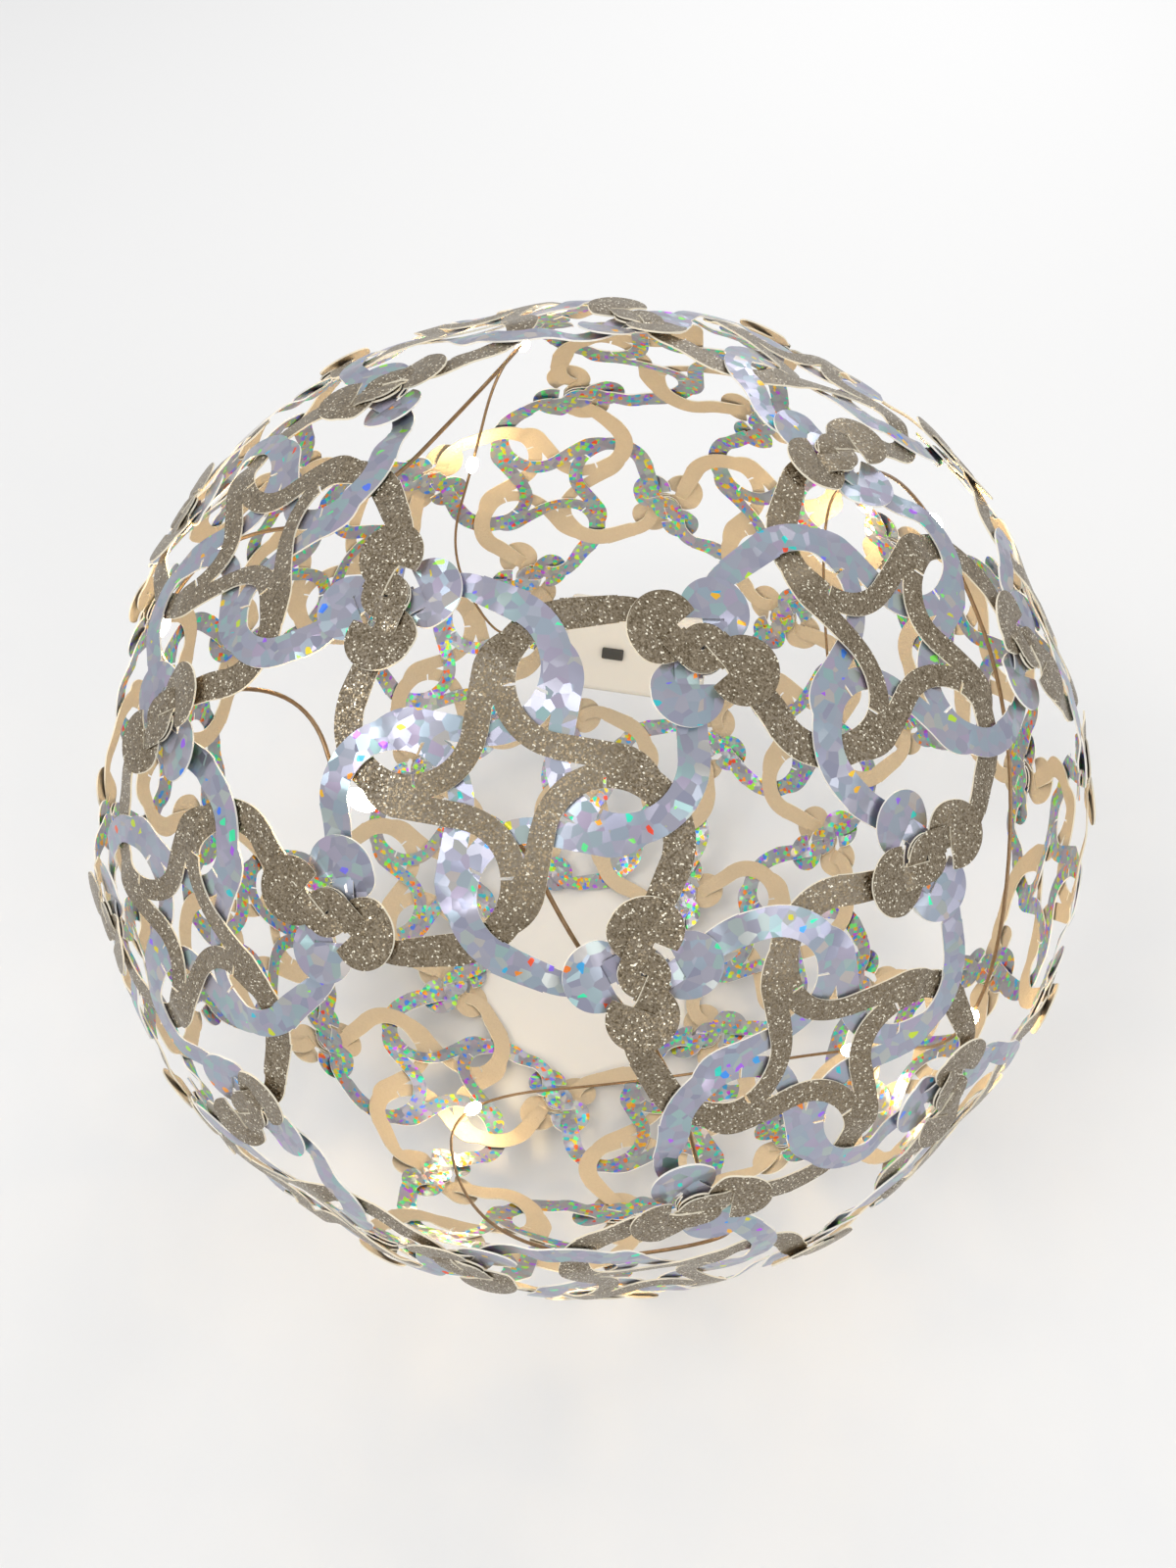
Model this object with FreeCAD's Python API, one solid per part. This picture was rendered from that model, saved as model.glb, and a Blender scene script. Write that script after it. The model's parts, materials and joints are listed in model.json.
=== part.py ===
import FreeCAD, Part
import math
import os
from FreeCAD import Matrix, Vector

# A ball hooked together from sixty flat card cut-outs. Thirty places lie round the ball, and each
# holds one gold star and one mirror-image silver star. Every star has four arms that end in a hook:
# a small slit disc, and a big disc with a throat. Hooks of neighbours lock through each other's slits.

# driving dimensions, mm
BALL_RADIUS = 100.0          # ball centre to the crossing of two hooks
CARD = 0.28                  # thickness of the gold card and of the silver film
FACET = 0.05                 # how closely facets follow a sheet where its lowest point is looked for
PANEL_FLATTENING = 2.0       # how far the middle of a star lies inside the round ball
FLATTENING_REACH = 20.0      # from the middle of a star to where it is back on the round
LINK_LIFT = 0.65             # gold hooks outside, silver hooks inside the round by this
WEAVE = 0.32                 # gold and silver arms pass over and under by this
HOOK_SWING = 0.3             # half the step between two hooked discs
HOOK_STEEPNESS = 0.9         # slope of that step at the slit
LOBE_TILT = 0.13             # how fast the big disc stands up beyond its throat

NOTCH_EDGE = 4.0             # inner edge of the star's straight limbs
LIMB_EDGE = 7.7              # outer edge of the star's straight limbs
EYE_RADIUS = 7.2             # round opening between two arms
VALLEY_RADIUS = 10.7         # outer edge of the band round that opening, inside the star
EYE_CENTRE = (5.6, 14.8)     # its centre, for the top arm
ARM_WIDTH = 4.5              # width where an arm starts to run round the opening
STRIP_WIDTH = 3.2            # width where it goes through a throat
STRIP_OVERLAP = 0.6
CROSSING = 23.8              # middle of the star to where a gold arm passes a silver arm

SMALL_DISC_RADIUS = 3.5
BIG_DISC_RADIUS = 5.1
BIG_DISC_ASIDE = 2.4         # big disc's centre to the left of the hook's line
BIG_DISC_AHEAD = 5.9         # and beyond the small disc
THROAT_AHEAD = 4.4           # the throat slit from the small disc's centre
SLIT_WIDTH = 0.9
THROAT_DEPTH = 3.7           # how far the throat runs past the hook's line
HOOK_TURN = 25.0             # the strip's direction, clockwise from the line of both big discs

GOLDEN = (1.0 + math.sqrt(5.0)) / 2.0
CORNER_RATIO = math.sqrt(11.0 + 4.0 * math.sqrt(5.0)) / 2.0
CORNER = BALL_RADIUS / CORNER_RATIO / 2.0


def unit(v):
    return Vector(v).normalize()


def heading(angle):
    return math.cos(math.radians(angle)), math.sin(math.radians(angle))


def smooth(t):
    t = min(1.0, max(0.0, t))
    return t * t * t * (t * (6.0 * t - 15.0) + 10.0)


# Places: a place's own frame has its origin in the ball's centre, its z axis out through the middle
# of the star, and its y axis towards one of the two pentagon openings beside it.
def pentagon_axes():
    axes = []
    for a in (-1.0, 1.0):
        for b in (-GOLDEN, GOLDEN):
            axes += [unit((0.0, a, b)), unit((a, b, 0.0)), unit((b, 0.0, a))]
    return axes


def standing_turn(axes):
    """Rotation that brings one pentagon opening straight down, so that the ball rests on its hooks."""
    return FreeCAD.Rotation(axes[0], Vector(0, 0, -1))


def places():
    axes = pentagon_axes()
    turn = standing_turn(axes)
    axes = [turn.multVec(a) for a in axes]
    neighbour = GOLDEN / (GOLDEN + 2.0) * 0.99
    found = []
    for i, first in enumerate(axes):
        for second in axes[i + 1:]:
            if first.dot(second) > neighbour:
                out = (first + second).normalize()
                up = (first - out * first.dot(out)).normalize()
                found.append((out, up))
    found.sort(key=lambda p: (-round(p[0].z, 3), round(math.atan2(p[0].y, p[0].x), 3)))
    return found


def place_matrix(place):
    out, up = place
    side = up.cross(out)
    return Matrix(side.x, up.x, out.x, 0, side.y, up.y, out.y, 0, side.z, up.z, out.z, 0, 0, 0, 0, 1)


PENTAGON_TILT = math.radians(31.7174744)


class Hook:
    """One corner of a star, with the frame (u, v) of its hook: v ahead along the strip, u to its right."""

    def __init__(self, sx, sy):
        depth = math.sqrt(BALL_RADIUS ** 2 - 2.0 * CORNER ** 2)
        self.out = Vector(sx * CORNER, sy * CORNER, depth) * (1.0 / BALL_RADIUS)
        pentagon = Vector(0, sy * math.sin(PENTAGON_TILT), math.cos(PENTAGON_TILT))
        self.towards = (pentagon - self.out * pentagon.dot(self.out)).normalize()
        self.side = self.towards.cross(self.out)
        self.arrives_left = sx * sy > 0
        along = -45.0 - HOOK_TURN if self.arrives_left else 135.0 - HOOK_TURN
        c, s = heading(along)
        self.ahead = self.side * c + self.towards * s
        self.right = self.side * s - self.towards * c

    def local(self, direction):
        return (direction.dot(self.right) * BALL_RADIUS, direction.dot(self.ahead) * BALL_RADIUS,
                direction.dot(self.out))

    def plan(self, u, v, lift):
        """The point (u, v) of the hook, seen along the star's own axis."""
        w = math.sqrt(BALL_RADIUS ** 2 - u * u - v * v)
        p = self.right * u + self.ahead * v + self.out * w
        scale = (BALL_RADIUS + lift) / BALL_RADIUS
        return p.x * scale, p.y * scale


HOOKS = [Hook(1, 1), Hook(-1, 1), Hook(-1, -1), Hook(1, -1)]


# Height of a sheet: the round ball, flattened in the star's middle, woven at the crossings and
# stepped at each slit, so that hooked discs pass through each other's slits without touching.
def slit_side(u, v):
    """Signed distance to the line of the slits: below the partner on one side, above on the other."""
    if abs(v) <= THROAT_AHEAD:
        if u > 0:
            return min(u, v + THROAT_AHEAD)
        return -min(-u, THROAT_AHEAD - v)
    if v > THROAT_AHEAD:
        return v - THROAT_AHEAD if u < 0 else math.hypot(u, v - THROAT_AHEAD)
    return v + THROAT_AHEAD if u > 0 else -math.hypot(u, v + THROAT_AHEAD)


def hook_step(u, v):
    step = HOOK_SWING * math.tanh(HOOK_STEEPNESS * slit_side(u, v) / (2.0 * HOOK_SWING))
    beyond = max(0.0, v - THROAT_AHEAD)
    return step + LOBE_TILT * beyond * beyond / (beyond + 1.5)


def sheet_radius(direction, layer):
    x = direction.x * BALL_RADIUS
    y = direction.y * BALL_RADIUS
    rho = math.hypot(x, y)
    radius = BALL_RADIUS - PANEL_FLATTENING * (1.0 - smooth(rho / FLATTENING_REACH))
    bump = 0.0
    for cx, cy in ((CROSSING, 0), (0, CROSSING), (-CROSSING, 0), (0, -CROSSING)):
        bump += 1.0 - smooth((math.hypot(x - cx, y - cy) - 5.0) / 4.5)
    radius += layer * WEAVE * (1.0 - 2.0 * bump)
    for hook in HOOKS:
        u, v, facing = hook.local(direction)
        if facing > 0.9:
            near = 1.0 - smooth((math.hypot(u, v) - 11.5) / 5.5)
            radius += near * (layer * (LINK_LIFT - WEAVE) + hook_step(u, v))
    return radius


def sheet_height(x, y, layer, offset):
    z = math.sqrt(BALL_RADIUS ** 2 - x * x - y * y)
    for _ in range(4):
        direction = unit((x, y, z))
        r = sheet_radius(direction, layer) + offset
        z = math.sqrt(r * r - x * x - y * y)
    return z


GRID_EDGE = 35.5
GRID_FINE_FROM = 13.0
GRID_FINE_STEP = 1.5
GRID_COARSE_COUNT = 8
RIM_STEP = 1.6               # spacing of the points that carry a cut edge up onto the sheet


def grid_lines():
    count = int(math.ceil((GRID_EDGE - GRID_FINE_FROM) / GRID_FINE_STEP))
    fine = [GRID_FINE_FROM + (GRID_EDGE - GRID_FINE_FROM) * i / count for i in range(count + 1)]
    coarse = [GRID_FINE_FROM * (2.0 * i / GRID_COARSE_COUNT - 1.0) for i in range(1, GRID_COARSE_COUNT)]
    return [-f for f in reversed(fine)] + coarse + fine


class Sheet:
    """One face of a bent sheet, as a smooth surface over the star's flat outline."""

    def __init__(self, layer, offset):
        lines = grid_lines()
        self.surface = Part.BSplineSurface()
        self.surface.interpolate([[Vector(x, y, sheet_height(x, y, layer, offset)) for y in lines]
                                  for x in lines])
        self.found = {}

    def above(self, x, y):
        """The surface's point over (x, y), by Newton steps in the surface's own parameters."""
        key = (round(x, 6), round(y, 6))
        if key in self.found:
            return self.found[key]
        u0, u1, v0, v1 = self.surface.bounds()
        u = u0 + (u1 - u0) * (x + GRID_EDGE) / (2.0 * GRID_EDGE)
        v = v0 + (v1 - v0) * (y + GRID_EDGE) / (2.0 * GRID_EDGE)
        step = 1e-4
        for _ in range(30):
            p = self.surface.value(u, v)
            dx = x - p.x
            dy = y - p.y
            if abs(dx) + abs(dy) < 1e-9:
                break
            pu = (self.surface.value(u + step, v) - p) * (1.0 / step)
            pv = (self.surface.value(u, v + step) - p) * (1.0 / step)
            det = pu.x * pv.y - pu.y * pv.x
            u += (dx * pv.y - dy * pv.x) / det
            v += (pu.x * dy - pu.y * dx) / det
        self.found[key] = Vector(x, y, self.surface.value(u, v).z)
        return self.found[key]

    def edge(self, flat):
        count = max(3, int(math.ceil(flat.Length / RIM_STEP)) + 1)
        curve = Part.BSplineCurve()
        curve.interpolate([self.above(p.x, p.y) for p in flat.discretize(Number=count)])
        return curve.toShape()

    def face(self, rims):
        face = Part.Face(self.surface, rims[0])
        face.validate()
        if len(rims) > 1:
            face.cutHoles(rims[1:])
            face.validate()
        return face


# Flat outline of a star, as seen along its axis
def filled(edges):
    """A flat blank with this rim. Blanks are joined and cut, and the result's underside is the outline."""
    return Part.Face(Part.Wire(edges)).extrude(Vector(0, 0, 1.0))


def line(p, q):
    return Part.LineSegment(Vector(p[0], p[1], 0), Vector(q[0], q[1], 0)).toShape()


def arc(p, q, r):
    return Part.Arc(Vector(p[0], p[1], 0), Vector(q[0], q[1], 0), Vector(r[0], r[1], 0)).toShape()


def polygon(points):
    return filled([line(p, q) for p, q in zip(points, points[1:] + points[:1])])


def turned(p, quarter):
    """A point of the top arm, for the arm that is so many quarter turns to the left."""
    x, y = p
    for _ in range(quarter):
        x, y = -y, x
    return x, y


def band(stations):
    """A curved strip: stations are (point, heading, width), taken in threes that share their ends."""
    left = []
    right = []
    for (x, y), angle, width in stations:
        c, s = heading(angle)
        left.append((x - s * width / 2.0, y + c * width / 2.0))
        right.append((x + s * width / 2.0, y - c * width / 2.0))
    edges = []
    for i in range(0, len(left) - 2, 2):
        edges.append(arc(left[i], left[i + 1], left[i + 2]))
    edges.append(line(left[-1], right[-1]))
    for i in range(len(right) - 1, 1, -2):
        edges.append(arc(right[i], right[i - 1], right[i - 2]))
    edges.append(line(right[0], left[0]))
    return filled(edges)


def eye_point(radius, angle):
    c, s = heading(angle)
    return EYE_CENTRE[0] + radius * c, EYE_CENTRE[1] + radius * s


def valley(quarter):
    """The star's band round an opening, with the straight limb that runs on to the next tip."""
    outer = [eye_point(VALLEY_RADIUS, a) for a in (195.0, 232.0, 270.0)]
    inner = [eye_point(EYE_RADIUS, a) for a in (270.0, 232.0, 195.0)]
    outer = [turned(p, quarter) for p in outer]
    inner = [turned(p, quarter) for p in inner]
    ring = filled([arc(*outer), line(outer[2], inner[0]), arc(*inner), line(inner[2], outer[0])])
    tip = EYE_CENTRE[1]
    limb = [(EYE_CENTRE[0] - 0.2, NOTCH_EDGE), (10.7, NOTCH_EDGE), (tip, 2.2), (20.4, 4.2), (tip, LIMB_EDGE),
            (EYE_CENTRE[0] - 0.2, EYE_CENTRE[1] - EYE_RADIUS)]
    p = [turned(q, quarter) for q in limb]
    shoulder = turned((18.2, 6.5), quarter)
    edges = [line(p[0], p[1]), line(p[1], p[2]), line(p[2], p[3]), arc(p[3], shoulder, p[4]),
             line(p[4], p[5]), line(p[5], p[0])]
    return ring.fuse(filled(edges))


def arm(quarter, hook, layer):
    """The arm that leaves the star's tip, runs round the opening and goes on into its hook."""
    middle = EYE_RADIUS + ARM_WIDTH / 2.0
    strip_u = SLIT_WIDTH / 2.0 + STRIP_WIDTH / 2.0
    near = hook.plan(strip_u, 0.0, layer * LINK_LIFT)
    far = hook.plan(strip_u, -8.0, layer * LINK_LIFT)
    turn_in = math.degrees(math.atan2(near[1] - far[1], near[0] - far[0]))
    start = 192.0 + 90.0 * quarter
    cx, cy = turned(EYE_CENTRE, quarter)

    def ring(angle, width):
        c, s = heading(angle)
        return (cx + middle * c, cy + middle * s), angle - 90.0, width

    # where the strip's line, run backwards, would leave the opening's ring on a tangent
    leave = 105.0 + 90.0 * quarter if hook.arrives_left else turn_in + 90.0
    span = (start - leave) % 360.0
    stations = [ring(start - span * k / 6.0, ARM_WIDTH - 0.15 * k / 6.0) for k in range(7)]
    (lx, ly), out, width = stations[-1]
    tx, ty = heading(out)
    sx, sy = heading(turn_in)
    if hook.arrives_left:
        cross = tx * sy - ty * sx
        run = ((near[0] - lx) * sy - (near[1] - ly) * sx) / cross
        corner = (lx + tx * run, ly + ty * run)
        turn = (out - turn_in + 180.0) % 360.0 - 180.0
        cut = 3.6
        radius = cut / math.tan(math.radians(turn / 2.0))
        p = (corner[0] - tx * cut, corner[1] - ty * cut)
        q = (corner[0] + sx * cut, corner[1] + sy * cut)
        pivot = (p[0] + ty * radius, p[1] - tx * radius)
        c, s = heading(out - turn / 2.0)
        mid = (pivot[0] - s * radius, pivot[1] + c * radius)
        straight = ((lx + p[0]) / 2.0, (ly + p[1]) / 2.0)
        bend = [(mid, out - turn / 2.0, STRIP_WIDTH + 0.25), (q, turn_in, STRIP_WIDTH)]
        after = [(p, out, STRIP_WIDTH + 0.5)] + bend
        return [band(stations), strip((lx, ly), p, width, STRIP_WIDTH + 0.5), band(after),
                strip(q, near, STRIP_WIDTH, STRIP_WIDTH)]
    return [band(stations), strip((lx, ly), near, width, STRIP_WIDTH)]


def strip(p, q, width_p, width_q):
    """A straight strip. It starts a little before p, so that it overlaps what it continues."""
    length = math.hypot(q[0] - p[0], q[1] - p[1])
    back = STRIP_OVERLAP / length
    p = (p[0] - (q[0] - p[0]) * back, p[1] - (q[1] - p[1]) * back)
    nx = -(q[1] - p[1]) / length / 2.0
    ny = (q[0] - p[0]) / length / 2.0
    return polygon([(p[0] + nx * width_p, p[1] + ny * width_p), (p[0] - nx * width_p, p[1] - ny * width_p),
                    (q[0] - nx * width_q, q[1] - ny * width_q), (q[0] + nx * width_q, q[1] + ny * width_q)])


def hook_disc(hook, layer, u, v, radius):
    rim = []
    for k in range(8):
        c, s = heading(45.0 * k)
        rim.append(hook.plan(u + radius * c, v + radius * s, layer * LINK_LIFT))
    return filled([arc(rim[i], rim[i + 1], rim[(i + 2) % 8]) for i in (0, 2, 4, 6)])


def hook_box(hook, layer, u0, u1, v0, v1):
    corners = [(u0, v0), (u1, v0), (u1, v1), (u0, v1)]
    return polygon([hook.plan(u, v, layer * LINK_LIFT) for u, v in corners])


def star_outline(layer):
    half = SLIT_WIDTH / 2.0
    solids = []
    cuts = []
    for quarter, hook in enumerate(HOOKS):
        solids.append(valley(quarter))
        solids += arm(quarter, hook, layer)
        tail = hook_disc(hook, layer, -BIG_DISC_ASIDE, BIG_DISC_AHEAD, BIG_DISC_RADIUS)
        reach = BIG_DISC_AHEAD + BIG_DISC_RADIUS
        throat = hook_box(hook, layer, -THROAT_DEPTH, reach, THROAT_AHEAD - half, THROAT_AHEAD + half)
        aside = hook_box(hook, layer, 0.0, reach, -half, THROAT_AHEAD + half)
        tail = tail.cut([throat, aside])
        solids.append(tail)
        solids.append(hook_disc(hook, layer, 0.0, 0.0, SMALL_DISC_RADIUS))
        cuts.append(hook_box(hook, layer, -half, half, -SMALL_DISC_RADIUS - 3.0, half / 2.0))
    outline = solids[0].fuse(solids[1:])
    blank = outline.cut(cuts).removeSplitter()
    return min(blank.Faces, key=lambda f: f.CenterOfMass.z)


def star(layer):
    """One cut-out, in its place's own frame: its outline carried up onto the two faces of its sheet."""
    outline = star_outline(layer)
    wires = sorted(outline.Wires, key=lambda w: -w.BoundBox.DiagonalLength)
    outer = Sheet(layer, CARD / 2.0)
    inner = Sheet(layer, -CARD / 2.0)
    outer_rims = []
    inner_rims = []
    faces = []
    for wire in wires:
        pairs = [(outer.edge(e), inner.edge(e)) for e in wire.OrderedEdges]
        outer_rims.append(Part.Wire([a for a, b in pairs]))
        inner_rims.append(Part.Wire([b for a, b in pairs]))
        faces += [Part.makeRuledSurface(a, b) for a, b in pairs]
    faces += [outer.face(outer_rims), inner.face(inner_rims)]
    skin = Part.Compound(faces)
    skin.sewShape()
    solid = Part.Solid(skin.Shells[0])
    if solid.Volume < 0:
        solid.reverse()
    return solid


def lowest_point(shape):
    """The height of a shape's lowest point, from its faceted surface: a box round a spline is too big."""
    return min(point.z for point in shape.tessellate(FACET)[0])


def placed(shape, place, lowest):
    copy = shape.copy()
    copy.transformShape(place_matrix(place))
    copy.translate(Vector(0, 0, -lowest))
    return copy


def main():
    os.makedirs("parts", exist_ok=True)
    gold = star(1.0)
    silver = star(-1.0).mirror(Vector(0, 0, 0), Vector(1, 0, 0))
    spots = places()
    lowest = min(lowest_point(placed(cutout, spot, 0.0)) for cutout in (gold, silver) for spot in spots[-5:])
    for number, spot in enumerate(spots, start=1):
        placed(gold, spot, lowest).exportStep("parts/gold_star_%02d.step" % number)
    done = set()
    for first, spot in enumerate(spots):
        if first in done:
            continue
        opposite = min(range(len(spots)), key=lambda k: spots[k][0].dot(spot[0]))
        done.update((first, opposite))
        pair = [placed(silver, spots[k], lowest) for k in (first, opposite)]
        Part.makeCompound(pair).exportStep("parts/silver_stars_%02d.step" % (len(done) // 2))


main()
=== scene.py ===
import json
import math

import bpy
from mathutils import Matrix, Vector


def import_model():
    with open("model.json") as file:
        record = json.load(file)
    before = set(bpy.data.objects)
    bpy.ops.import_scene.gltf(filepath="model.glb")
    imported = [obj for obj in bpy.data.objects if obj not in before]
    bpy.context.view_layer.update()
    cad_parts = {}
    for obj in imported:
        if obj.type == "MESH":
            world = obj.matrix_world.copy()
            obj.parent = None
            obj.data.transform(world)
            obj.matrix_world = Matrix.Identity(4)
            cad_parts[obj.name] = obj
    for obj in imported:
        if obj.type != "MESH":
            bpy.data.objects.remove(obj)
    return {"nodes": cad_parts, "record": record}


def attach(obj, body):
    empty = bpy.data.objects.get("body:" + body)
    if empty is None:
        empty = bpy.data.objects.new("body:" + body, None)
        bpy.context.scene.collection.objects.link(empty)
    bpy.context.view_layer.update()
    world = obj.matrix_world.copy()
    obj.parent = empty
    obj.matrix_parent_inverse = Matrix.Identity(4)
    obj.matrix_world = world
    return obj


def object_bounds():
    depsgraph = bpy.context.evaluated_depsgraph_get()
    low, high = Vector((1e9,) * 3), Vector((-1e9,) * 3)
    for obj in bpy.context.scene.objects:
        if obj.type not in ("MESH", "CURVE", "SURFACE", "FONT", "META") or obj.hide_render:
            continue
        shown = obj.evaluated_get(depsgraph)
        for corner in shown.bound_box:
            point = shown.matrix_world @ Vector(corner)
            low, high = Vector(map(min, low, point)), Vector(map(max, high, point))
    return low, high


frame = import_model()
bpy.context.view_layer.update()
cad_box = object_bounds()

# Where the ball is, and how the photograph looks at it
LOW, HIGH = (Vector(c) for c in cad_box)
BALL_CENTRE = Vector((0.0, 0.0, (LOW.z + HIGH.z) / 2.0))
BALL_RADIUS = 0.100
IMAGE_WIDTH = 1200
IMAGE_HEIGHT = 1600
FOCAL_PIXELS = 1202.0
SENSOR_HEIGHT = 36.0
CAMERA_OFFSET = Vector((0.2885, -1.3488, 2.1722)) * BALL_RADIUS
CAMERA_TILT = 56.93
CAMERA_AZIMUTH = -77.86


def camera():
    """The photograph's own view, upright and with no shift."""
    data = bpy.data.cameras.new("camera")
    data.sensor_fit = "VERTICAL"
    data.sensor_height = SENSOR_HEIGHT
    data.sensor_width = SENSOR_HEIGHT * IMAGE_WIDTH / IMAGE_HEIGHT
    data.lens = FOCAL_PIXELS * SENSOR_HEIGHT / IMAGE_HEIGHT
    data.clip_start = 0.01
    data.clip_end = 20.0
    obj = bpy.data.objects.new("camera", data)
    bpy.context.scene.collection.objects.link(obj)
    tilt = math.radians(CAMERA_TILT)
    azimuth = math.radians(CAMERA_AZIMUTH)
    back = Vector((math.cos(tilt) * math.cos(azimuth), math.cos(tilt) * math.sin(azimuth), math.sin(tilt)))
    right = Vector((-math.sin(azimuth), math.cos(azimuth), 0.0))
    up = back.cross(right)
    turn = Matrix((right, up, back)).transposed().to_4x4()
    obj.matrix_world = Matrix.Translation(BALL_CENTRE + CAMERA_OFFSET) @ turn
    bpy.context.scene.camera = obj


camera()

# The light string: a battery case at the back wall, the twisted copper pair drawn as one round wire, and lit
# resin drops
CASE_LENGTH = 0.040
CASE_WIDTH = 0.025
CASE_DEPTH = 0.011
CASE_AZIMUTH = 92.0
CASE_ELEVATION = -28.0
CASE_REACH = 0.0870
WIRE_DIAMETER = 0.0007
WIRE_REACH = 0.0955
EXIT_STRAIGHT = 0.014
DROP_LENGTH = 0.0052
DROP_WIDTH = 0.0030

# Azimuth and elevation in degrees, seen from the ball's centre, and the reach as a share of WIRE_REACH.
# The last word is "drop" where a lit drop hangs.
ROUTE = [
    (121, -25, 0.97, ""),
    (126, -8, 0.99, ""),
    (120, 11, 0.98, "drop"),
    (117, 33, 0.99, ""),
    (113, 54, 1.00, "drop"),
    (138, 72, 0.99, ""),
    (-162, 67, 0.98, ""),
    (-176, 47, 1.00, "drop"),
    (-172, 30, 1.00, "drop"),
    (-151, 43, 0.99, ""),
    (-130, 57, 1.00, ""),
    (-113, 50, 0.99, "drop"),
    (-92, 57, 0.98, ""),
    (-79, 44, 1.00, ""),
    (-69, 33, 0.99, ""),
    (-66, 12, 1.00, ""),
    (-60, -7, 0.99, ""),
    (-80, -11, 0.99, "drop"),
    (-98, -30, 0.98, ""),
    (-119, -54, 0.99, "drop"),
    (-52, -66, 0.98, ""),
    (-16, -36, 0.98, "drop"),
    (-27, 4, 1.00, "drop"),
    (-3, 34, 0.98, ""),
    (30, 46, 0.98, "drop"),
    (58, 26, 0.99, ""),
    (66, 4, 0.99, "drop"),
    (48, -28, 0.98, ""),
]


def on_ball(azimuth, elevation, reach):
    """The point at this azimuth and elevation, in degrees, and this distance from the ball's centre."""
    a = math.radians(azimuth)
    e = math.radians(elevation)
    out = Vector((math.cos(e) * math.cos(a), math.cos(e) * math.sin(a), math.sin(e)))
    return BALL_CENTRE + out * reach


def case_frame():
    """Places the case: x runs level along the wall, y up the wall, z out to the wall."""
    centre = on_ball(CASE_AZIMUTH, CASE_ELEVATION, CASE_REACH)
    out = (centre - BALL_CENTRE).normalized()
    along = Vector((0.0, 0.0, 1.0)).cross(out).normalized()
    up = out.cross(along)
    return Matrix.Translation(centre) @ Matrix((along, up, out)).transposed().to_4x4()


CASE = case_frame()


def light_wire():
    """The wire's curve, where it leaves the case, the points along it, and its length.

    Each point of the route carries the wire's own radius, so that the curve's box is no wider than the wire.
    """
    start = CASE @ Vector((CASE_LENGTH / 2.0, 0.0, 0.0))
    ahead = CASE @ Vector((CASE_LENGTH / 2.0 + EXIT_STRAIGHT, 0.0, 0.001))
    points = [start, ahead] + [on_ball(a, e, share * WIRE_REACH) for a, e, share, _ in ROUTE]
    curve = bpy.data.curves.new("light_wire", "CURVE")
    curve.dimensions = "3D"
    spline = curve.splines.new("NURBS")
    spline.points.add(len(points) - 1)
    for point, place in zip(spline.points, points):
        point.co = (*place, 1.0)
        point.radius = WIRE_DIAMETER / 2.0
    spline.order_u = 3
    spline.use_endpoint_u = True
    spline.resolution_u = 12
    obj = bpy.data.objects.new("light_wire", curve)
    bpy.context.scene.collection.objects.link(obj)
    line = [v.co.copy() for v in bpy.data.meshes.new_from_object(obj).vertices]
    curve.bevel_depth = 1.0
    curve.bevel_resolution = 3
    curve.use_fill_caps = True
    length = sum((b - a).length for a, b in zip(line, line[1:]))
    return obj, start, line, length


def ball_piece(name, width, length, place, along):
    """A drop: a ball drawn out along one direction."""
    bpy.ops.mesh.primitive_uv_sphere_add(segments=16, ring_count=10, radius=0.5)
    obj = bpy.context.object
    obj.name = name
    turn = along.to_track_quat("Z", "Y").to_matrix().to_4x4()
    obj.matrix_world = Matrix.Translation(place) @ turn @ Matrix.Diagonal((width, width, length, 1.0))
    for face in obj.data.polygons:
        face.use_smooth = True
    return obj


def light_drops(line):
    drops = []
    for azimuth, elevation, share, kind in ROUTE:
        if kind != "drop":
            continue
        wanted = on_ball(azimuth, elevation, share * WIRE_REACH)
        nearest = min(range(1, len(line) - 1), key=lambda i: (line[i] - wanted).length)
        along = (line[nearest + 1] - line[nearest - 1]).normalized()
        name = f"light_drop_{len(drops) + 1:02d}"
        drops.append(ball_piece(name, DROP_WIDTH, DROP_LENGTH, line[nearest], along))
    return drops


wire, wire_start, wire_line, wire_length = light_wire()
drops = light_drops(wire_line)
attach(wire, "root")
for drop in drops:
    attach(drop, "root")


# Battery case: body and cover meet at a seam, with a slide switch and a cover screw
SEAM = 0.0004
BODY_SHARE = 0.62
CORNER = 0.0022
COVER_ROUNDING = 0.4
LIP_INSET = 0.0006
LIP_DEPTH = 0.5
LIP_LOWER = 0.1
SWITCH_SIZE = (0.0060, 0.0030, 0.0016)
SWITCH_ALONG = 0.006
SWITCH_PROUD = 0.3
SWITCH_CORNER = 0.0004
SCREW_RADIUS = 0.0016
SCREW_DEPTH = 0.0008
SCREW_ALONG = -0.015
SCREW_PROUD = 0.0001


def rounded_box(name, size, centre, corner):
    """A box in the case's own frame with rounded edges."""
    bpy.ops.mesh.primitive_cube_add(size=1.0)
    obj = bpy.context.object
    obj.name = name
    obj.data.transform(Matrix.Diagonal((*size, 1.0)))
    obj.matrix_world = CASE @ Matrix.Translation(Vector(centre))
    bevel = obj.modifiers.new("rounding", "BEVEL")
    bevel.width = corner
    bevel.segments = 4
    for face in obj.data.polygons:
        face.use_smooth = True
    return obj


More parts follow.
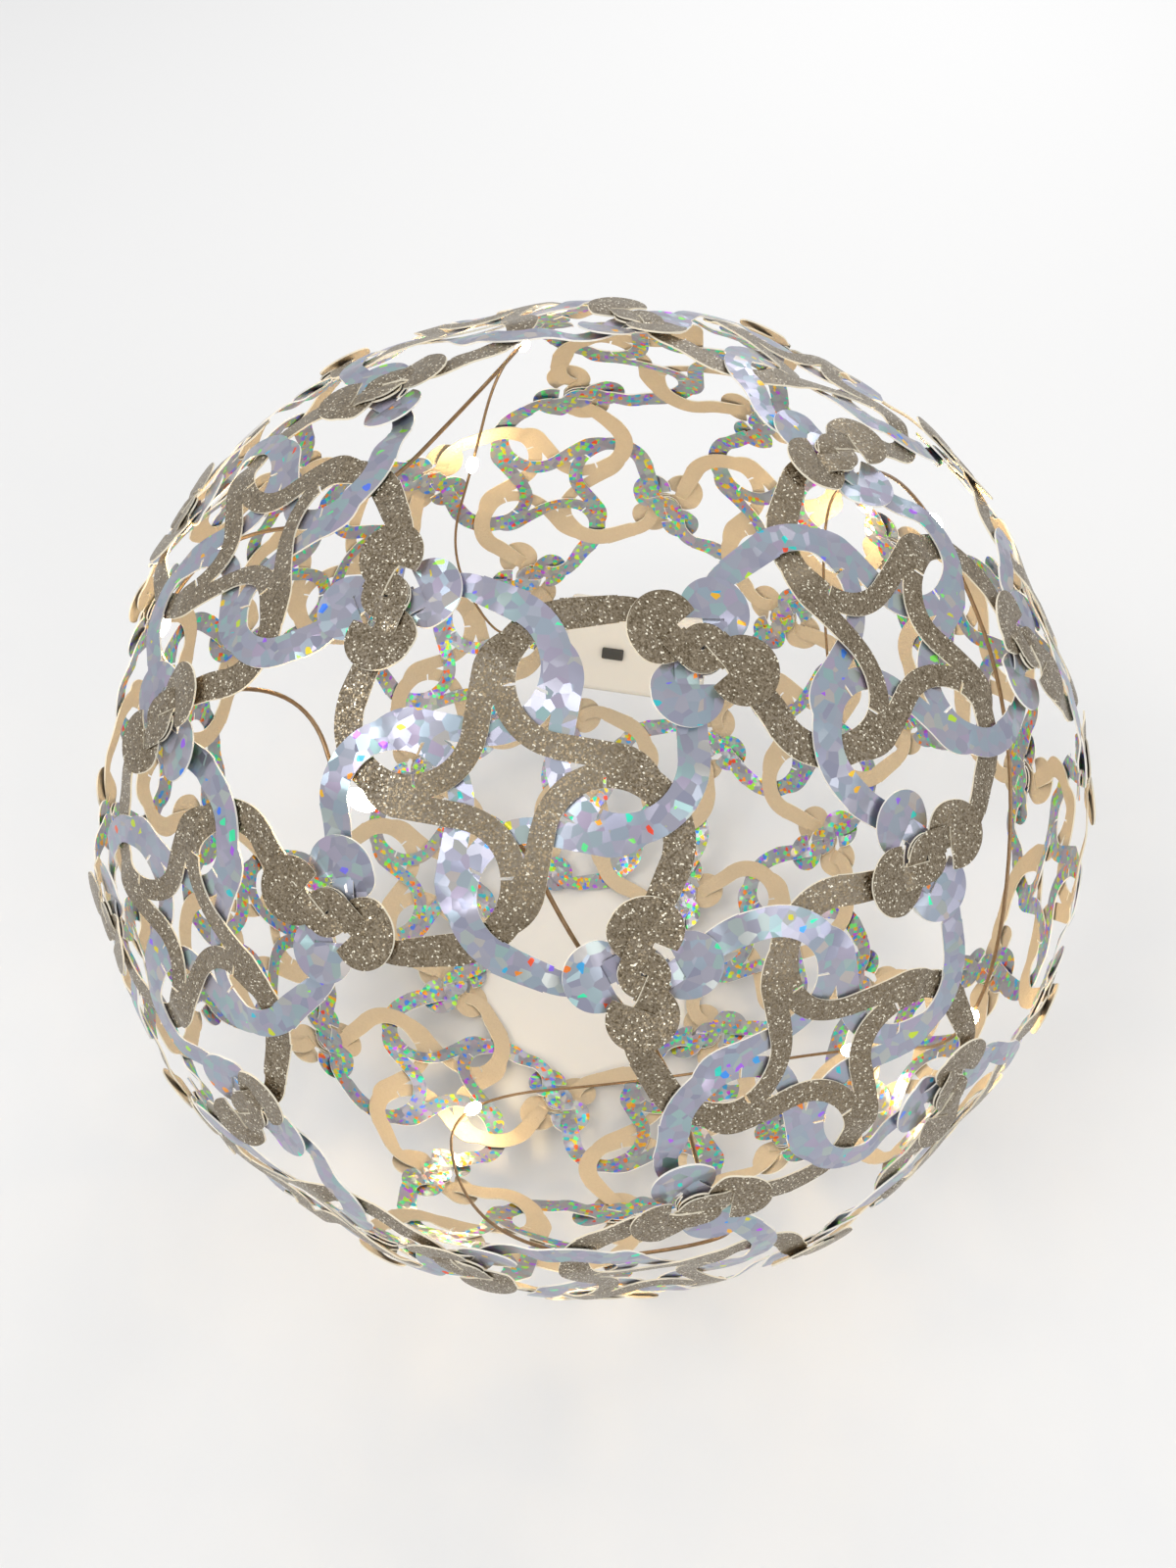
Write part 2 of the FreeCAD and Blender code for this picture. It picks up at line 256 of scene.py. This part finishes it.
def battery_case():
    """The case's shells, its switch and its screw. The lip joins body and cover inside the seam."""
    low = -CASE_DEPTH / 2.0
    body_depth = CASE_DEPTH * BODY_SHARE
    cover_depth = CASE_DEPTH - body_depth - SEAM
    top = low + body_depth
    body = rounded_box("battery_case", (CASE_LENGTH, CASE_WIDTH, body_depth),
                       (0.0, 0.0, low + body_depth / 2.0), CORNER)
    cover = rounded_box("battery_cover", (CASE_LENGTH, CASE_WIDTH, cover_depth),
                        (0.0, 0.0, top + SEAM + cover_depth / 2.0), cover_depth * COVER_ROUNDING)
    lip_size = (CASE_LENGTH - 2.0 * LIP_INSET, CASE_WIDTH - 2.0 * LIP_INSET, CASE_DEPTH * LIP_DEPTH)
    lip = rounded_box("battery_lip", lip_size, (0.0, 0.0, top - CASE_DEPTH * LIP_LOWER), CORNER)
    switch_height = low - SWITCH_SIZE[2] * SWITCH_PROUD
    switch = rounded_box("switch_slider", SWITCH_SIZE, (SWITCH_ALONG, 0.0, switch_height), SWITCH_CORNER)
    bpy.ops.mesh.primitive_cylinder_add(vertices=24, radius=SCREW_RADIUS, depth=SCREW_DEPTH)
    screw = bpy.context.object
    screw.name = "cover_screw"
    screw.matrix_world = CASE @ Matrix.Translation(Vector((SCREW_ALONG, 0.0, low - SCREW_PROUD)))
    return [body, cover, lip], switch, screw


shells, switch, screw = battery_case()
for piece in [*shells, switch, screw]:
    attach(piece, "root")


# Material helpers
class Nodes:
    """A material's node tree, with short calls that make and join its nodes."""

    def __init__(self, name):
        self.material = bpy.data.materials.new(name)
        self.material.use_nodes = True
        self.tree = self.material.node_tree
        self.tree.nodes.clear()
        self.output = self.tree.nodes.new("ShaderNodeOutputMaterial")

    def add(self, kind, **settings):
        node = self.tree.nodes.new("ShaderNode" + kind)
        for key, value in settings.items():
            setattr(node, key, value)
        return node

    def join(self, source, target):
        self.tree.links.new(source, target)

    def feed(self, socket, value):
        if hasattr(value, "is_linked"):
            self.join(value, socket)
        else:
            socket.default_value = value

    def math(self, operation, a, b=0.0, clamp=False):
        node = self.add("Math", operation=operation, use_clamp=clamp)
        self.feed(node.inputs[0], a)
        self.feed(node.inputs[1], b)
        return node.outputs[0]

    def vector(self, operation, a, b=(0.0, 0.0, 0.0)):
        node = self.add("VectorMath", operation=operation)
        self.feed(node.inputs[0], a)
        self.feed(node.inputs[1], b)
        return node.outputs["Value" if operation in ("DOT_PRODUCT", "LENGTH") else "Vector"]

    def scaled(self, a, factor):
        node = self.add("VectorMath", operation="SCALE")
        self.feed(node.inputs[0], a)
        self.feed(node.inputs["Scale"], factor)
        return node.outputs["Vector"]

    def mix(self, factor, a, b):
        node = self.add("Mix", data_type="RGBA")
        self.feed(node.inputs[0], factor)
        self.feed(node.inputs[6], a)
        self.feed(node.inputs[7], b)
        return node.outputs[2]

    def ramp(self, value, stops, interpolation="LINEAR"):
        node = self.add("ValToRGB")
        node.color_ramp.interpolation = interpolation
        elements = node.color_ramp.elements
        while len(elements) < len(stops):
            elements.new(0.5)
        for element, (position, colour) in zip(elements, stops):
            element.position = position
            element.color = colour
        self.feed(node.inputs[0], value)
        return node.outputs[0]

    def cells(self, coordinates, size):
        """Cells of about this size in metres, each with a random colour of its own."""
        node = self.add("TexVoronoi", feature="F1")
        self.feed(node.inputs["Vector"], coordinates)
        node.inputs["Scale"].default_value = 1.0 / size
        return node.outputs["Color"]

    def noise(self, coordinates, size, detail=2.0):
        node = self.add("TexNoise")
        self.feed(node.inputs["Vector"], coordinates)
        node.inputs["Scale"].default_value = 1.0 / size
        node.inputs["Detail"].default_value = detail
        return node.outputs[0]

    def surface(self, **inputs):
        shader = self.add("BsdfPrincipled")
        for key, value in inputs.items():
            self.feed(shader.inputs[key.replace("_", " ")], value)
        return shader


def sheet_sides(nodes):
    """The place of a point on a sheet, 1 or 0 for its outer face, and 1 or 0 for its inner face."""
    position = nodes.add("TexCoord").outputs["Object"]
    out = nodes.vector("NORMALIZE", nodes.vector("SUBTRACT", position, BALL_CENTRE))
    facing = nodes.vector("DOT_PRODUCT", out, nodes.add("NewGeometry").outputs["True Normal"])
    outer = nodes.math("GREATER_THAN", facing, 0.5)
    inner = nodes.math("LESS_THAN", facing, -0.5)
    return position, outer, inner


def tilted(nodes, cell_colour, amount):
    """The surface normal, tilted at random from cell to cell like a flake's."""
    normal = nodes.add("NewGeometry").outputs["Normal"]
    offset = nodes.vector("SUBTRACT", cell_colour, (0.5, 0.5, 0.5))
    return nodes.vector("NORMALIZE", nodes.vector("ADD", normal, nodes.scaled(offset, amount)))


# Gold glitter card: fine flakes outside, the brightest few painted as glints, cream paper inside, pale cut
# edge
FLAKE = 0.00022
GOLD_DARK = (0.135, 0.104, 0.066, 1.0)
GOLD_MID = (0.190, 0.150, 0.098, 1.0)
GOLD_LIGHT = (0.27, 0.22, 0.15, 1.0)
GOLD_PAINTED_GLINT = (0.90, 0.84, 0.68, 1.0)
CREAM_PAPER = (0.66, 0.55, 0.40, 1.0)
CUT_EDGE = (0.80, 0.74, 0.60, 1.0)


def gold_card():
    n = Nodes("gold_glitter_card")
    position, outer, inner = sheet_sides(n)
    flakes = n.cells(position, FLAKE)
    shade = n.add("SeparateColor")
    n.feed(shade.inputs[0], flakes)
    # The brightest few flakes ramp up to a painted glint colour that stands in for sparkle.
    glitter = n.ramp(shade.outputs[0], [(0.0, GOLD_DARK), (0.50, GOLD_MID), (0.94, GOLD_LIGHT),
                                        (0.975, GOLD_PAINTED_GLINT)])
    fibre = n.noise(position, 0.0006, 4.0)
    paper = n.mix(fibre, (0.58, 0.47, 0.33, 1.0), CREAM_PAPER)
    colour = n.mix(outer, n.mix(inner, CUT_EDGE, paper), glitter)
    metal = n.math("MULTIPLY", outer, n.math("GREATER_THAN", shade.outputs[1], 0.60))
    rough = n.math("SUBTRACT", 0.85, n.math("MULTIPLY", outer, 0.5))
    shader = n.surface(Base_Color=colour, Metallic=metal, Roughness=rough, Normal=tilted(n, flakes, 0.35))
    n.join(shader.outputs[0], n.output.inputs[0])
    return n.material


# Silver holographic film: cracked-ice cells that shift in hue, small cells painted as rainbow glints with
# more on the inner faces, pale edge
ICE_CELL = 0.0017
PAINTED_GLINT_SPOT = 0.0010
PAINTED_GLINT_OUTSIDE = 0.97
PAINTED_GLINT_MORE_INSIDE = 0.30


def silver_film():
    n = Nodes("silver_holographic_film")
    position, outer, inner = sheet_sides(n)
    big = n.cells(position, ICE_CELL)
    painted_glint_cells = n.cells(position, PAINTED_GLINT_SPOT)
    hue = n.add("SeparateColor")
    n.feed(hue.inputs[0], big)
    painted_glint_pick = n.add("SeparateColor")
    n.feed(painted_glint_pick.inputs[0], painted_glint_cells)
    tint = n.ramp(hue.outputs[0], [(0.0, (0.31, 0.32, 0.42, 1.0)), (0.30, (0.40, 0.39, 0.46, 1.0)),
                                   (0.55, (0.33, 0.41, 0.48, 1.0)), (0.72, (0.42, 0.36, 0.48, 1.0)),
                                   (0.88, (0.31, 0.47, 0.47, 1.0)), (1.0, (0.52, 0.46, 0.44, 1.0))])
    painted_rainbow_glint = n.ramp(painted_glint_pick.outputs[1], [(0.0, (0.9, 0.08, 0.05, 1.0)), (0.2, (0.95, 0.55, 0.05, 1.0)),
                                       (0.4, (0.35, 0.9, 0.08, 1.0)), (0.6, (0.05, 0.85, 0.45, 1.0)),
                                       (0.8, (0.08, 0.25, 0.95, 1.0)), (1.0, (0.6, 0.1, 0.8, 1.0))])
    # Painted rainbow glints: a few small cells take bright spectral colours in place of the lit drops'
    # diffraction glints, and more of them on the inner faces, which face the drops.
    painted_glint_threshold = n.math("SUBTRACT", PAINTED_GLINT_OUTSIDE, n.math("MULTIPLY", inner, PAINTED_GLINT_MORE_INSIDE))
    painted_glint_spots = n.math("GREATER_THAN", painted_glint_pick.outputs[0], painted_glint_threshold)
    colour = n.mix(painted_glint_spots, tint, painted_rainbow_glint)
    film = n.mix(n.math("MAXIMUM", outer, inner), (0.86, 0.84, 0.78, 1.0), colour)
    metal = n.math("MULTIPLY", n.math("MAXIMUM", outer, inner), 0.75)
    shader = n.surface(Base_Color=film, Metallic=metal, Roughness=0.34, Normal=tilted(n, big, 0.28))
    n.join(shader.outputs[0], n.output.inputs[0])
    return n.material


# Wire, drops and case
WARM_LIGHT = (1.0, 0.72, 0.36, 1.0)
DROP_STRENGTH = 110.0


def copper():
    n = Nodes("wire_copper")
    position = n.add("TexCoord").outputs["Object"]
    colour = n.mix(n.noise(position, 0.0008), (0.20, 0.12, 0.06, 1.0), (0.42, 0.28, 0.16, 1.0))
    shader = n.surface(Base_Color=colour, Metallic=0.8, Roughness=0.35)
    n.join(shader.outputs[0], n.output.inputs[0])
    return n.material


def lit_resin():
    n = Nodes("lit_resin")
    shader = n.surface(Base_Color=(1.0, 0.9, 0.7, 1.0), Roughness=0.2)
    shader.inputs["Emission Color"].default_value = WARM_LIGHT
    shader.inputs["Emission Strength"].default_value = DROP_STRENGTH
    n.join(shader.outputs[0], n.output.inputs[0])
    return n.material


def plain(name, colour, rough, metal=0.0):
    """A moulded or metal surface with a slight grain."""
    n = Nodes(name)
    position = n.add("TexCoord").outputs["Object"]
    grain = n.math("ADD", n.math("MULTIPLY", n.noise(position, 0.0010), 0.12), rough)
    shader = n.surface(Base_Color=colour, Metallic=metal, Roughness=grain)
    n.join(shader.outputs[0], n.output.inputs[0])
    return n.material


def put_on(pieces, material):
    for piece in pieces:
        piece.data.materials.append(material)


put_on([wire], copper())
put_on(drops, lit_resin())
put_on(shells, plain("case_plastic", (0.80, 0.79, 0.76, 1.0), 0.4))
put_on([switch], plain("switch_plastic", (0.05, 0.05, 0.05, 1.0), 0.45))
put_on([screw], plain("screw_steel", (0.55, 0.55, 0.55, 1.0), 0.3, 1.0))

FINISHES = {"gold_card": gold_card(), "silver_film": silver_film()}


def dress():
    slots = {part["node"]: part["material_slot"] for part in frame["record"]["subparts"]}
    for name, obj in frame["nodes"].items():
        finish = FINISHES.get(slots[name])
        if finish is not None:
            for i in range(max(1, len(obj.material_slots))):
                if i < len(obj.material_slots):
                    obj.material_slots[i].material = finish
                else:
                    obj.data.materials.append(finish)


dress()


# Floor and studio light
FLOOR_COLOUR = (0.80, 0.80, 0.80, 1.0)


def floor():
    bpy.ops.mesh.primitive_plane_add(size=6.0, location=(0.0, 0.0, LOW.z))
    plane = bpy.context.object
    plane.name = "floor"
    n = Nodes("floor")
    shader = n.surface(Base_Color=FLOOR_COLOUR, Roughness=0.9)
    n.join(shader.outputs[0], n.output.inputs[0])
    plane.data.materials.append(n.material)


WORLD_LIGHT = 0.75


def soft_lamp(name, place, size, power, colour=(1.0, 1.0, 1.0)):
    data = bpy.data.lights.new(name, "AREA")
    data.shape = "DISK"
    data.size = size
    data.energy = power
    data.color = colour
    obj = bpy.data.objects.new(name, data)
    bpy.context.scene.collection.objects.link(obj)
    obj.location = BALL_CENTRE + Vector(place)
    obj.rotation_euler = (-Vector(place)).to_track_quat("-Z", "Y").to_euler()


def world():
    w = bpy.data.worlds.new("studio")
    bpy.context.scene.world = w
    w.use_nodes = True
    tree = w.node_tree
    background = tree.nodes["Background"]
    background.inputs[0].default_value = (1.0, 1.0, 1.0, 1.0)
    rays = tree.nodes.new("ShaderNodeLightPath")
    strength = tree.nodes.new("ShaderNodeMapRange")
    strength.inputs["To Min"].default_value = WORLD_LIGHT
    strength.inputs["To Max"].default_value = 1.0
    tree.links.new(rays.outputs["Is Camera Ray"], strength.inputs["Value"])
    tree.links.new(strength.outputs[0], background.inputs[1])


floor()
world()
soft_lamp("key", (-0.5, -0.4, 0.9), 0.5, 3.6)
soft_lamp("fill", (0.7, -0.5, 0.5), 0.6, 1.8)
soft_lamp("rim", (0.1, 0.8, 0.5), 0.5, 2.0)
bpy.context.scene.view_settings.view_transform = "Standard"
bpy.context.view_layer.update()
